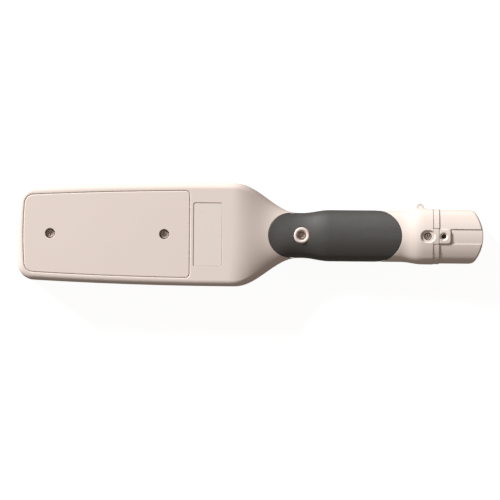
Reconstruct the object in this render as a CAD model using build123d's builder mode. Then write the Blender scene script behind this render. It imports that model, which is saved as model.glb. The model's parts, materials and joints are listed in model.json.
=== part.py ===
from build123d import *

import os
from math import cos, pi

# A handheld metal detector lying on its front face: a flat sensing paddle on an oval handle.
# Millimetres. X runs from the paddle's tip (-X) to the end cap (+X), Y across, Z up through the rear face.
# The origin is under the middle of the wand, on the plane that its front rests on.

# Overall size
LENGTH = 384.0
PADDLE_WIDTH = 85.0
THICKNESS = 38.0
TIP_X = -LENGTH / 2
MID_Z = THICKNESS / 2
OVERRUN = 20.0

# Casing wall
WALL = 2.8

# Paddle
PADDLE_EDGE_RADIUS = 5.0
TIP_CORNER_RADIUS = 14.0
TIP_BOW_RADIUS = 320.0
SIDE_BOW_RADIUS = 3100.0
MIN_CORNER = 2.0
SHOULDER_X = TIP_X + 174.0

# Handle
WAIST_X = TIP_X + 180.0
ROUND_X = TIP_X + 226.5
REAR_DROP_X = TIP_X + 214.0
NECK_X = TIP_X + 233.5
NECK_HALF = 1.5
SWELL_X = TIP_X + 270.0
FLARE_X = TIP_X + 313.0
COLLAR_X = TIP_X + 336.0
SHELL_END_X = TIP_X + 343.0
NECK_WIDTH = 37.2
GRIP_WIDTH = 42.4
COLLAR_WIDTH = 46.2
NECK_DEPTH = 28.0
GRIP_DEPTH = 31.4
TOP_CROWN = 6.4
SIDE_BULGE = 1.2
HANDLE_CORNER_RADIUS = 10.0
OUTER_STEPS = (32, 6)
HIDDEN_STEPS = (16, 3)
LEAD_IN = 4.0
SWELL_RUN = 12.0

# Rubber grips
GRIP_SKIN = 1.4
GRIP_GAP = 0.3
GRIP_FRONT_X = TIP_X + 225.5
GRIP_FRONT_RADIUS = 18.1
GRIP_REAR_X = TIP_X + 296.0
GRIP_REAR_RADIUS = 21.1
GRIP_WRAP = 25.0
GRIP_SEAM = 0.1

# Coil cover and its screws
COVER_MARGIN = 6.6
COVER_SHIFT = 0.9
COVER_END_X = TIP_X + 142.5
COVER_CORNER = 3.5
COVER_THICKNESS = 2.0
COVER_GAP = 0.15
COVER_LEDGE = 4.5
COVER_FRAME = 2.4
COVER_SCREW_XS = (TIP_X + 27.7, TIP_X + 121.6)
COVER_BORE = 8.2
COVER_SEAT_DEPTH = 4.2
COVER_BOSS = 12.0
COVER_BOSS_DEPTH = 6.4
COVER_PILLAR = 8.0
SOFT_EDGE = 0.5

# Blank label
LABEL_X = TIP_X + 157.3
LABEL_LENGTH = 23.6
LABEL_WIDTH = 52.3
LABEL_DEPTH = 0.5
LABEL_THICKNESS = 0.25
LABEL_CORNER = 1.5

# Screw that joins the shells, in the ring on the grip
RING_X = TIP_X + 234.7
RING_DIAMETER = 13.4
RING_BORE = 7.6
RING_RISE = 0.4
RING_ROUND = 0.9
RING_SEAT_DEPTH = 4.6
PILLAR_DIAMETER = 9.0
CLEAR_HOLE = 3.4
PILOT_HOLE = 2.5
PILOT_DEPTH = 12.0
SCREW_SHANK = 2.4
HEAD_CHAMFER = 0.3
COVER_SCREW_HEAD = (7.4, 2.6)
SHELL_SCREW_HEAD = (5.6, 2.2)
BOARD_SCREW_HEAD = (5.0, 1.6)
COVER_SCREW_LENGTH = 11.0
RING_SCREW_LENGTH = 20.0
TAIL_SCREW_LENGTH = 5.5
BORE_PLAY = 0.1

# Screw pocket and lanyard lug at the tail
TAIL_SCREW_X = TIP_X + 338.6
POCKET_LENGTH = 11.0
POCKET_WIDTH = 9.4
POCKET_BORE = 6.4
POCKET_FLARE_DEPTH = 3.0
POCKET_SLOPE = 0.9
POCKET_SEAT_DEPTH = 4.2
TAIL_BOSS = 10.0
TAIL_BOSS_DEPTH = 6.0
LUG_X = TIP_X + 332.2
LUG_WIDTH = 6.2
LUG_HEIGHT = 5.0
LUG_HOLE = 2.4
LUG_HOLE_Y = 24.3

# Ring, spigot and end cap
RING_INSET = 0.3
CAP_X = TIP_X + 348.0
CAP_INSET = 0.9
CAP_WALL = 2.4
CAP_BOW_RADIUS = 34.0
CAP_CORNER_RADIUS = 8.0
CAP_EDGE = 1.0
RIM_LEAN = 0.1
CAP_CAVITY_END_X = TIP_X + 369.0
CAP_POCKET_END_X = TIP_X + 377.4
SPIGOT_GAP = 0.3
SPIGOT_WALL = 2.2
SPIGOT_LENGTH = 11.5
SEAL_WIDTH = 1.5
SEAL_THICKNESS = 0.8
SEAL_GAP = 0.05
TONGUE_WIDTH = 12.6
PAD_LENGTH = 9.2
PAD_WIDTH = 11.6
PAD_INSET = 0.1
PAD_CORNER = 2.5
CHANNEL_WIDTH = 12.1
CHANNEL_DEPTH = 0.6
CAP_SCREW_X = TIP_X + 351.6
CAP_SCREW_DIAMETER = 4.0
CAP_SCREW_LENGTH = 5.0
CAP_SCREW_SOCKET = 2.0
CAP_SCREW_REST = 0.4
DISH_DIAMETER = 7.0
DISH_DEPTH = 2.2
CAP_BOSS_WIDTH = 8.4
CAP_BOSS_LENGTH = 6.8
SLOT_GAP = 0.3

# Nine-volt battery and the sleeve that holds it
BATTERY_WIDTH = 26.5
BATTERY_DEPTH = 17.5
BATTERY_LENGTH = 46.4
BATTERY_X = TIP_X + 327.0
BATTERY_ROUND = 2.0
BATTERY_GAP = 0.3
SLEEVE_WALL = 2.0
SLEEVE_X = TIP_X + 326.0
RIB_THICKNESS = 2.5
RIB_GAP = 0.3
TERMINAL_PITCH = 12.7
TERMINAL_HEIGHT = 2.4
TERMINAL_DIAMETERS = (5.6, 8.0)
CLIP_WIDTH = 25.5
CLIP_DEPTH = 12.5
CLIP_THICKNESS = 5.0
FOAM_THICKNESS = 4.5

# Board and front controls
BOARD_X = TIP_X + 147.5
BOARD_LENGTH = 55.0
BOARD_WIDTH = 54.0
BOARD_CHAMFER = 9.0
BOARD_THICKNESS = 1.6
BOARD_Z = 12.0
BOARD_POST = 6.0
BOARD_POST_SPOTS = [(TIP_X + x, side * y) for x, y in ((151.5, 22.5), (196.5, 16.0)) for side in (1, -1)]
BOARD_HOLE = 2.6
BOARD_PILOT = 2.0
PANEL_X = TIP_X + 147.0
PANEL_LENGTH = 66.0
PANEL_PAD_LENGTH = 52.0
PANEL_WIDTH = 25.0
PANEL_CORNER = 4.0
PANEL_Z = 1.8
PANEL_FLOOR = 2.4
LENS_X = TIP_X + 153.0
LENS_WIDTH = 21.6
LENS_LENGTH = 5.2
LENS_FLANGE = 1.5
LENS_Z = 1.2
LED_PITCH = 7.0
LED_DIAMETER = 5.0
SLIDER_X = TIP_X + 172.0
SLIDER_TRAVEL = 3.0
SLIDER_LENGTH = 6.4
SLIDER_WIDTH = 3.8
SLIDER_SKIRT = (18.0, 7.6, 1.0)
SLIDER_STEM = 2.2
STEM_REACH = 1.0
SWITCH_SIZE = (12.0, 6.0, 4.4)
BUTTON_X = TIP_X + 190.0
BUTTON_DIAMETER = 9.0
BUTTON_FLANGE = 11.4
BUTTON_STEM = 3.0
TACT_WIDTH = 6.0
TACT_HEIGHT = 3.0
TACT_PIP = 0.6
BUTTON_TRAVEL = 0.8
BUTTON_REST = 0.2
CONTROL_GAP = 0.3
CONTROL_Z = 0.6
BUZZER_X = TIP_X + 166.0
BUZZER_Y = 26.0
BUZZER_DIAMETER = 22.0
BUZZER_HEIGHT = 7.0
BUZZER_RING = 1.4
SOUND_HOLE = 2.0
GRILLE_SLITS = 5
GRILLE_PITCH = 3.0
GRILLE_SLIT = (1.4, 13.0)

# Parts soldered to the board's rear side
CHIPS = (((TIP_X + 166.0, -14.0), (10.0, 8.0)), ((TIP_X + 182.0, 4.0), (12.0, 9.0)))
CHIP_HEIGHT = 2.0
CAPACITOR_SPOTS = ((TIP_X + 163.0, 12.0), (TIP_X + 172.0, 18.0), (TIP_X + 186.0, -12.0))
CAPACITOR_DIAMETER = 6.3
CAPACITOR_HEIGHT = 9.0
CONNECTOR_SIZE = (5.0, 9.0, 4.0)
CONNECTOR_SPOTS = ((TIP_X + 151.0, 0.0), (TIP_X + 198.5, 8.0), (TIP_X + 198.5, -8.0))

# Coil set in the paddle
FORMER_MARGIN = 12.5
FORMER_END_X = TIP_X + 136.0
FORMER_CORNER = 8.0
FORMER_Z = 14.0
FORMER_FLOOR = 2.0
FORMER_RIM = 1.2
FORMER_RIM_HEIGHT = 7.6
WINDING_WIDTH = 5.0
WINDING_HEIGHT = 7.0
WINDING_GAP = 0.1
LOOP_XS = (TIP_X + 54.0, TIP_X + 96.5)
LOOP_SIZE = (41.0, 35.0)
LOOP_CORNER = 8.0
LOOP_HEIGHT = 4.0

# Vibration motor in the handle
MOTOR_X = TIP_X + 262.0
MOTOR_LENGTH = 20.0
MOTOR_DIAMETER = 10.0
MOTOR_Z = 14.0
MOTOR_SHAFT = 1.5
MOTOR_SHAFT_GAP = 0.05
MOTOR_SHAFT_DEPTH = 4.0
WEIGHT_RADIUS = 4.4
WEIGHT_LENGTH = 5.0
WEIGHT_OFFSET = 1.5
CRADLE_RIB = 2.0
LEAD_DIAMETER = 1.4
LEAD_BEND = 5.0
LEAD_LANES = (6.8, 9.2)
LEAD_SLOPE = 12.0
RIBBON_THICKNESS = 0.9
COIL_RIBBON = 8.0
MOTOR_RIBBON = 2.4

# Heights worked out from the sizes above
COVER_SEAT_Z = THICKNESS - COVER_THICKNESS
COVER_BOSS_Z = THICKNESS - COVER_BOSS_DEPTH
TAIL_BOSS_Z = THICKNESS - TAIL_BOSS_DEPTH
SLEEVE_TOP_Z = MID_Z + BATTERY_DEPTH / 2 + BATTERY_GAP + SLEEVE_WALL
CAP_BOSS_Z = SLEEVE_TOP_Z + CAP_SCREW_REST + BORE_PLAY
CAP_SCREW_TOP_Z = SLEEVE_TOP_Z + CAP_SCREW_REST + CAP_SCREW_LENGTH
PANEL_INNER_Z = PANEL_Z + PANEL_FLOOR
BOARD_TOP_Z = BOARD_Z + BOARD_THICKNESS
FORMER_TOP_Z = FORMER_Z + FORMER_FLOOR

os.makedirs("parts", exist_ok=True)


def export(piece, name):
    """Label a finished piece and write it to its own file."""
    piece.part.label = name
    export_step(piece.part, f"parts/{name}.step")


def ramp(x, start, end):
    """Smooth step that is 0 up to start and 1 from end on."""
    share = min(max((x - start) / (end - start), 0.0), 1.0)
    return (1 - cos(pi * share)) / 2


def half_width(x):
    """Half the handle's width at x."""
    shoulder = (PADDLE_WIDTH - NECK_WIDTH) / 2 * ramp(x, WAIST_X, NECK_X - NECK_HALF)
    swell = (GRIP_WIDTH - NECK_WIDTH) / 2 * ramp(x, NECK_X + NECK_HALF, SWELL_X - SWELL_RUN)
    flare = (COLLAR_WIDTH - GRIP_WIDTH) / 2 * ramp(x, FLARE_X + LEAD_IN, COLLAR_X - LEAD_IN / 2)
    return PADDLE_WIDTH / 2 - shoulder + swell + flare


def drop(x, end_x):
    """How far a face has come in from the paddle's at x, on its way to the neck's level at end_x."""
    return (THICKNESS - NECK_DEPTH) / 2 * ramp(x, SHOULDER_X + LEAD_IN, end_x)


def centre_z(x):
    """Height of the section's middle at x; the rear face drops sooner than the front."""
    return MID_Z + (drop(x, NECK_X) - drop(x, REAR_DROP_X)) / 2


def half_depth(x):
    """Half the handle's depth at x."""
    narrowing = (drop(x, NECK_X) + drop(x, REAR_DROP_X)) / 2
    swell = (GRIP_DEPTH - NECK_DEPTH) / 2 * ramp(x, NECK_X + NECK_HALF, SWELL_X - SWELL_RUN)
    flare = (THICKNESS - GRIP_DEPTH) / 2 * ramp(x, FLARE_X + LEAD_IN, COLLAR_X - LEAD_IN / 2)
    return THICKNESS / 2 - narrowing + swell + flare


def wall_z(x):
    """Height of the middle of the front wall at x."""
    return centre_z(x) - half_depth(x) + WALL / 2


def across(x, z=MID_Z):
    """Plane across the wand at x, centred at height z, with Y to the right and Z up."""
    return Plane((x, 0, z), x_dir=(0, 1, 0), z_dir=(1, 0, 0))


def bow_radius(half_chord, rise):
    """Radius of the arc that rises by rise over a chord."""
    return (half_chord**2 + rise**2) / (2 * rise)


def handle_section(x, inset):
    """Oval section across the handle at x, drawn in by inset: square at the paddle, bowed behind it."""
    roundness = ramp(x, SHOULDER_X, ROUND_X)
    width = half_width(x)
    depth = half_depth(x)
    crown = TOP_CROWN * roundness
    bulge = SIDE_BULGE * roundness
    with BuildSketch(across(x, centre_z(x))) as oval:
        if roundness:
            top_radius = bow_radius(width - bulge, crown)
            side_radius = bow_radius(depth - crown, bulge)
            with Locations((0, depth - top_radius)):
                Circle(top_radius - inset)
            with Locations((0, top_radius - depth)):
                Circle(top_radius - inset, mode=Mode.INTERSECT)
            for side in (1, -1):
                with Locations((side * (width - side_radius), 0)):
                    Circle(side_radius - inset, mode=Mode.INTERSECT)
        else:
            Rectangle(2 * (width - inset), 2 * (depth - inset))
        corner = PADDLE_EDGE_RADIUS + (HANDLE_CORNER_RADIUS - PADDLE_EDGE_RADIUS) * roundness
        fillet(oval.vertices(), corner - inset)
    return oval.sketch


def paddle_outline(inset):
    """Plan of the paddle, bowed at its tip and sides, to past the shoulder, drawn in by inset."""
    with BuildSketch() as plan:
        with Locations((SHOULDER_X + OVERRUN, 0)):
            Rectangle(LENGTH, LENGTH, align=(Align.MAX, Align.CENTER))
        with Locations((TIP_X + TIP_BOW_RADIUS, 0)):
            Circle(TIP_BOW_RADIUS - inset, mode=Mode.INTERSECT)
        for side in (1, -1):
            with Locations((SHOULDER_X, side * (PADDLE_WIDTH / 2 - SIDE_BOW_RADIUS))):
                Circle(SIDE_BOW_RADIUS - inset, mode=Mode.INTERSECT)
        tip_corners = plan.vertices().group_by(Axis.X)[0]
        fillet(tip_corners, max(TIP_CORNER_RADIUS - inset, MIN_CORNER))
    return plan.sketch


def section_row(start_x, end_x, steps, inset):
    """Evenly spaced handle sections from start_x to end_x."""
    return [handle_section(start_x + (end_x - start_x) * i / steps, inset) for i in range(steps + 1)]


def casing_form(inset):
    """The closed casing's form from the tip to the shell's end; drawn in by inset it is a hidden surface."""
    outline = paddle_outline(inset)
    shoulder_steps, flare_steps = HIDDEN_STEPS if inset else OUTER_STEPS
    end_x = SHELL_END_X + WALL if inset else SHELL_END_X
    with BuildPart() as form:
        with BuildSketch(Plane.XY.offset(inset)):
            add(outline)
        extrude(amount=THICKNESS - 2 * inset)
        if not inset:
            fillet(form.faces().filter_by(Axis.Z).edges(), PADDLE_EDGE_RADIUS)
        split(bisect_by=Plane.YZ.offset(SHOULDER_X), keep=Keep.BOTTOM)
        loft(section_row(SHOULDER_X, SWELL_X, shoulder_steps, inset), ruled=True)
        extrude(handle_section(SWELL_X, inset), amount=FLARE_X - SWELL_X)
        loft(section_row(FLARE_X, COLLAR_X, flare_steps, inset), ruled=True)
        extrude(handle_section(COLLAR_X, inset), amount=end_x - COLLAR_X)
    return form.part


def disc(spot, diameter, low_z, high_z, mode=Mode.ADD):
    """Upright cylinder at spot from low_z to high_z, added to or taken from the part in hand."""
    with Locations((spot[0], spot[1], low_z)):
        base = (Align.CENTER, Align.CENTER, Align.MIN)
        Cylinder(diameter / 2, high_z - low_z, align=base, mode=mode)


def block(spot, size, low_z, high_z, mode=Mode.ADD):
    """Upright box of a plan size centred on spot from low_z to high_z, added or taken away."""
    with Locations((spot[0], spot[1], low_z)):
        base = (Align.CENTER, Align.CENTER, Align.MIN)
        Box(size[0], size[1], high_z - low_z, align=base, mode=mode)


def paddle_cut(inset, shift, end_x, corner):
    """Plan of the paddle drawn in by inset, moved towards its tip by shift and cut square at end_x."""
    paddle = paddle_outline(inset)
    with BuildSketch() as plan:
        with Locations((-shift, 0)):
            add(paddle)
        with Locations((end_x, 0)):
            Rectangle(LENGTH, LENGTH, align=(Align.MIN, Align.CENTER), mode=Mode.SUBTRACT)
        fillet(plan.vertices().group_by(Axis.X)[-1], max(corner, MIN_CORNER))
    return plan.sketch


def cover_outline(growth):
    """Plan of the coil cover, grown by growth on every side."""
    return paddle_cut(COVER_MARGIN - growth, COVER_SHIFT, COVER_END_X + growth, COVER_CORNER + growth)


def former_outline(inset):
    """Plan of the coil former, drawn in by inset on every side."""
    return paddle_cut(FORMER_MARGIN + inset, 0, FORMER_END_X - inset, FORMER_CORNER - inset)


def grip_outline(growth):
    """Plan of a rubber grip, grown by growth on every side; its sides lie outside the handle."""
    front = (GRIP_FRONT_X, GRIP_FRONT_RADIUS + growth)
    rear = (GRIP_REAR_X, GRIP_REAR_RADIUS + growth)
    with BuildSketch() as plan:
        with BuildLine():
            CenterArc((GRIP_FRONT_X, 0), GRIP_FRONT_RADIUS + growth, 90, 90)
            Polyline(front, (SWELL_X, GRIP_WRAP), rear)
            CenterArc((GRIP_REAR_X, 0), GRIP_REAR_RADIUS + growth, 0, 90)
            mirror(about=Plane.XZ)
        make_face()
    return plan.sketch


def grip_prism(growth, low_z, high_z):
    """The grip's outline as an upright block from low_z to high_z, less the floor that the grip lies on."""
    outline = grip_outline(growth)
    with BuildPart() as prism:
        with BuildSketch(Plane.XY.offset(low_z)):
            add(outline)
        extrude(amount=high_z - low_z)
        add(grip_floor, mode=Mode.SUBTRACT)
    return prism.part


def pan_screw(head, head_height, shank, length):
    """Screw with its head standing on z = 0 and its shank below."""
    with BuildPart() as screw:
        Cylinder(head / 2, head_height, align=(Align.CENTER, Align.CENTER, Align.MIN))
        chamfer(screw.faces().sort_by(Axis.Z)[-1].edges(), head_height * HEAD_CHAMFER)
        Cylinder(shank / 2, length, align=(Align.CENTER, Align.CENTER, Align.MAX))
    return screw.part


def lead(*points):
    """Round wire through points, bent with a steady radius."""
    with BuildPart() as wire:
        with BuildLine() as path:
            FilletPolyline(*points, radius=LEAD_BEND)
        with BuildSketch(Plane(path.line @ 0, z_dir=path.line % 0)):
            Circle(LEAD_DIAMETER / 2)
        sweep()
    return wire.part


def ribbon(width, *points):
    """Flat lead through points, bent with a steady radius, its width along Y where it starts."""
    with BuildPart() as strip:
        with BuildLine() as path:
            FilletPolyline(*points, radius=LEAD_BEND)
        with BuildSketch(Plane(path.line @ 0, x_dir=(0, 1, 0), z_dir=path.line % 0)):
            Rectangle(width, RIBBON_THICKNESS)
        sweep()
    return strip.part


def casing_half(keep):
    """Half of the hollow casing with its recess for a grip."""
    with BuildPart() as half:
        add(outer)
        split(bisect_by=Plane.XY.offset(MID_Z), keep=keep)
        add([inner, grip_recess], mode=Mode.SUBTRACT)
    return half.part


def tail_pad(start_x, length, width, corner, low_z):
    """Pad on the tail's rear from low_z up, level with the collar, rounded at its far corners."""
    level = handle_section(start_x, PAD_INSET)
    with BuildPart() as pad:
        with BuildSketch(Plane.XY.offset(low_z)) as plan:
            with Locations((start_x, 0)):
                Rectangle(length, width, align=(Align.MIN, Align.CENTER))
            if corner:
                fillet(plan.vertices().group_by(Axis.X)[-1], corner)
        extrude(amount=THICKNESS - low_z)
        extrude(level, amount=length, mode=Mode.INTERSECT)
    return pad.part


outer = casing_form(0)
inner = casing_form(WALL)
grip_floor = casing_form(GRIP_SKIN)
grip_recess = grip_prism(GRIP_GAP, 0, THICKNESS)

# Rear shell: cover recess, label recess, screw ring on the grip, screw pocket and lanyard lug
ring_top_z = centre_z(RING_X) + half_depth(RING_X) + RING_RISE
cover_recess = cover_outline(COVER_GAP)
cover_opening = cover_outline(-COVER_LEDGE)
cover_frame = cover_outline(COVER_LEDGE / 2)
tongue_x = SHELL_END_X - WALL
tongue = tail_pad(tongue_x, CAP_X - GRIP_GAP - tongue_x, TONGUE_WIDTH, 0, TAIL_BOSS_Z)
with BuildPart() as rear_fittings:
    add(tongue)
    with BuildSketch(Plane.XY.offset(COVER_SEAT_Z - COVER_FRAME)):
        add(cover_frame)
    extrude(amount=COVER_FRAME)
    disc((RING_X, 0), PILLAR_DIAMETER, MID_Z, ring_top_z - WALL)
    disc((RING_X, 0), RING_DIAMETER, ring_top_z - WALL, ring_top_z)
    disc((TAIL_SCREW_X, 0), TAIL_BOSS, TAIL_BOSS_Z, THICKNESS - WALL / 2)
    lug_root_y = half_width(LUG_X) - WALL / 2
    with BuildSketch(Plane.XY.offset(MID_Z)):
        with Locations((LUG_X, lug_root_y)):
            Rectangle(LUG_WIDTH, LUG_HOLE_Y - lug_root_y, align=(Align.CENTER, Align.MIN))
        with Locations((LUG_X, LUG_HOLE_Y)):
            Circle(LUG_WIDTH / 2)
    extrude(amount=LUG_HEIGHT)

with BuildPart() as rear_cuts:
    with BuildSketch(Plane.XY.offset(COVER_SEAT_Z)):
        add(cover_recess)
    extrude(amount=OVERRUN)
    with BuildSketch(Plane.XY.offset(COVER_SEAT_Z - COVER_FRAME)):
        add(cover_opening)
    extrude(amount=OVERRUN)
    with BuildSketch(Plane.XY.offset(THICKNESS - LABEL_DEPTH)):
        with Locations((LABEL_X, 0)):
            RectangleRounded(LABEL_LENGTH, LABEL_WIDTH, LABEL_CORNER)
    extrude(amount=OVERRUN)
    disc((RING_X, 0), RING_BORE, ring_top_z - RING_SEAT_DEPTH, ring_top_z + OVERRUN)
    disc((RING_X, 0), CLEAR_HOLE, MID_Z - OVERRUN, ring_top_z)
    for rise in (POCKET_FLARE_DEPTH, 0):
        with BuildSketch(Plane.XY.offset(THICKNESS + rise - POCKET_FLARE_DEPTH / 2)):
            with Locations((TAIL_SCREW_X, 0)):
                SlotOverall(POCKET_LENGTH + POCKET_SLOPE * rise, POCKET_WIDTH + POCKET_SLOPE * rise)
    loft()
    disc((TAIL_SCREW_X, 0), POCKET_BORE, THICKNESS - POCKET_SEAT_DEPTH, THICKNESS)
    disc((TAIL_SCREW_X, 0), CLEAR_HOLE, TAIL_BOSS_Z - OVERRUN, THICKNESS)
    disc((LUG_X, LUG_HOLE_Y), LUG_HOLE, MID_Z, MID_Z + LUG_HEIGHT)

with BuildPart() as rear_shell:
    add(casing_half(Keep.TOP))
    add(rear_fittings.part)
    add(rear_cuts.part, mode=Mode.SUBTRACT)
    rear_face = rear_shell.faces().filter_by(Axis.Z).sort_by(Axis.Z)[-1]
    chamfer(rear_face.inner_wires().sort_by(Axis.X)[0].edges(), SOFT_EDGE)
    ring_face = rear_shell.faces().sort_by_distance((RING_X + RING_BORE / 2 + RING_ROUND, 0, ring_top_z))[0]
    chamfer(ring_face.edges(), RING_ROUND)
export(rear_shell, "rear_shell")

# Front shell: control panel, sounder grille, and the pillars, posts and motor cradle inside
buzzer_spot = (BUZZER_X, BUZZER_Y)
buzzer_pocket = BUZZER_DIAMETER + 2 * CONTROL_GAP
with BuildPart() as front_fittings:
    panel_pad = (PANEL_PAD_LENGTH, PANEL_WIDTH)
    block((PANEL_X + PANEL_PAD_LENGTH / 2, 0), panel_pad, WALL - SOFT_EDGE, PANEL_INNER_Z)
    disc(buzzer_spot, buzzer_pocket + 2 * BUZZER_RING, WALL / 2, WALL + BUZZER_HEIGHT / 2)
    for x in COVER_SCREW_XS:
        disc((x, 0), COVER_BOSS, WALL / 2, FORMER_Z)
        disc((x, 0), COVER_PILLAR, FORMER_Z, COVER_BOSS_Z)
    disc((RING_X, 0), PILLAR_DIAMETER, wall_z(RING_X) + WALL / 3, MID_Z)
    for spot in BOARD_POST_SPOTS:
        disc(spot, BOARD_POST, wall_z(spot[0]), BOARD_Z)
    for x in (MOTOR_X + 2 * CRADLE_RIB, MOTOR_X + MOTOR_LENGTH - 2 * CRADLE_RIB):
        block((x, 0), (CRADLE_RIB, MOTOR_DIAMETER + 2 * CRADLE_RIB), wall_z(x) + WALL / 3, MOTOR_Z)

with BuildPart() as front_cuts:
    with BuildSketch():
        with Locations((PANEL_X, 0)):
            RectangleRounded(PANEL_LENGTH, PANEL_WIDTH, PANEL_CORNER, align=(Align.MIN, Align.CENTER))
    extrude(amount=PANEL_Z)
    block((LENS_X, 0), (LENS_LENGTH + 2 * CONTROL_GAP, LENS_WIDTH + 2 * CONTROL_GAP), PANEL_Z, PANEL_INNER_Z)
    slot_length = SLIDER_LENGTH + 2 * (SLIDER_TRAVEL + CONTROL_GAP)
    block((SLIDER_X, 0), (slot_length, SLIDER_WIDTH + 2 * CONTROL_GAP), PANEL_Z, PANEL_INNER_Z)
    disc((BUTTON_X, 0), BUTTON_DIAMETER + 2 * CONTROL_GAP, PANEL_Z, PANEL_INNER_Z)
    disc(buzzer_spot, buzzer_pocket, WALL, WALL + BUZZER_HEIGHT / 2)
    with Locations(buzzer_spot):
        with GridLocations(GRILLE_PITCH, 0, GRILLE_SLITS, 1):
            Box(*GRILLE_SLIT, 2 * WALL)
    for x in COVER_SCREW_XS:
        disc((x, 0), PILOT_HOLE, COVER_BOSS_Z - PILOT_DEPTH, COVER_BOSS_Z)
    disc((RING_X, 0), PILOT_HOLE, MID_Z - PILOT_DEPTH, MID_Z)
    for spot in BOARD_POST_SPOTS:
        disc(spot, BOARD_PILOT, BOARD_Z - BOARD_POST, BOARD_Z)
    with Locations((MOTOR_X + MOTOR_LENGTH / 2, 0, MOTOR_Z)):
        Cylinder(MOTOR_DIAMETER / 2, MOTOR_LENGTH, rotation=(0, 90, 0))

with BuildPart() as front_shell:
    add(casing_half(Keep.BOTTOM))
    add(front_fittings.part)
    add(front_cuts.part, mode=Mode.SUBTRACT)
export(front_shell, "front_shell")

# Rubber grips
with BuildPart() as rear_grip:
    add(grip_prism(0, MID_Z + GRIP_SEAM, THICKNESS))
    add(outer, mode=Mode.INTERSECT)
    disc((RING_X, 0), RING_DIAMETER + 2 * GRIP_GAP, MID_Z, THICKNESS, Mode.SUBTRACT)
export(rear_grip, "rear_grip")

with BuildPart() as front_grip:
    add(grip_prism(0, 0, MID_Z - GRIP_SEAM))
    add(outer, mode=Mode.INTERSECT)
export(front_grip, "front_grip")

# Coil cover and blank label
cover_plan = cover_outline(0)
with BuildPart() as coil_cover:
    with BuildSketch(Plane.XY.offset(COVER_SEAT_Z)):
        add(cover_plan)
    extrude(amount=COVER_THICKNESS)
    chamfer(coil_cover.faces().sort_by(Axis.Z)[-1].edges(), SOFT_EDGE)
    for x in COVER_SCREW_XS:
        disc((x, 0), COVER_BOSS, COVER_BOSS_Z, COVER_SEAT_Z)
        disc((x, 0), COVER_BORE, THICKNESS - COVER_SEAT_DEPTH, THICKNESS, Mode.SUBTRACT)
        disc((x, 0), CLEAR_HOLE, COVER_BOSS_Z, THICKNESS, Mode.SUBTRACT)
export(coil_cover, "coil_cover")

with BuildPart() as rating_label:
    with BuildSketch(Plane.XY.offset(THICKNESS - LABEL_DEPTH)):
        with Locations((LABEL_X, 0)):
            RectangleRounded(LABEL_LENGTH - 2 * GRIP_GAP, LABEL_WIDTH - 2 * GRIP_GAP, LABEL_CORNER - GRIP_GAP)
    extrude(amount=LABEL_THICKNESS)
export(rating_label, "rating_label")

# Screws
cover_screw = pan_screw(*COVER_SCREW_HEAD, SCREW_SHANK, COVER_SCREW_LENGTH)
with BuildPart() as cover_screws:
    with Locations([(x, 0, THICKNESS - COVER_SEAT_DEPTH) for x in COVER_SCREW_XS]):
        add(cover_screw)
export(cover_screws, "cover_screws")

ring_screw = pan_screw(*SHELL_SCREW_HEAD, SCREW_SHANK, RING_SCREW_LENGTH)
with BuildPart() as grip_screw:
    with Locations((RING_X, 0, ring_top_z - RING_SEAT_DEPTH)):
        add(ring_screw)
export(grip_screw, "grip_screw")

pocket_screw = pan_screw(*SHELL_SCREW_HEAD, SCREW_SHANK, TAIL_SCREW_LENGTH)
with BuildPart() as tail_screw:
    with Locations((TAIL_SCREW_X, 0, THICKNESS - POCKET_SEAT_DEPTH)):
        add(pocket_screw)
export(tail_screw, "tail_screw")

# Battery tube: ribbed sleeve in the handle, ring behind the shells and spigot under the end cap
sleeve_size = (
    BATTERY_WIDTH + 2 * (BATTERY_GAP + SLEEVE_WALL),
    BATTERY_DEPTH + 2 * (BATTERY_GAP + SLEEVE_WALL),
)
spigot_inset = CAP_INSET + CAP_WALL + SPIGOT_GAP
spigot_end_x = CAP_X + SPIGOT_LENGTH
with BuildPart() as sleeve:
    with BuildSketch(across(SLEEVE_X)):
        RectangleRounded(*sleeve_size, BATTERY_ROUND + SLEEVE_WALL)
    extrude(amount=spigot_end_x - SLEEVE_X)
    extrude(handle_section(SLEEVE_X, WALL + RIB_GAP), amount=spigot_end_x - SLEEVE_X, mode=Mode.INTERSECT)

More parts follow.
